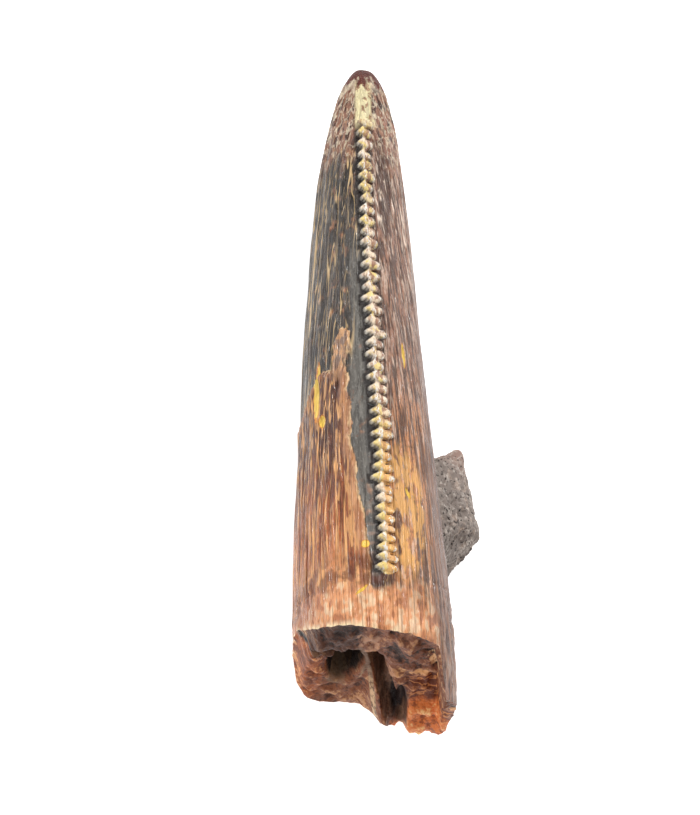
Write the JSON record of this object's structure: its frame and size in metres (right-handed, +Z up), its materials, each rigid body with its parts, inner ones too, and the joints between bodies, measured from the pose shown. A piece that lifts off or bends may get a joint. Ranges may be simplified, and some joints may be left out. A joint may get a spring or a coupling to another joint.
{
  "type": "fossil nanotyrannus tooth",
  "caption": "Fossil theropod tooth lying on its front edge, serrated edge up, with a broken hollow root stub and a lump of sandstone matrix on one flank.",
  "frame": {"origin": "middle of the box around tooth and matrix, on the surface they lie on", "axes": "+Y along the tooth towards its tip, +Z up towards the serrated edge, +X to the side with the matrix"},
  "size_m": [0.0076, 0.0272, 0.0097],
  "materials": {
    "tooth": "satin",
    "matrix_lump": "matte"
  },
  "bodies": {
    "root": {"tooth": "tooth", "matrix_lump": "matrix_lump"}
  },
  "joints": []
}
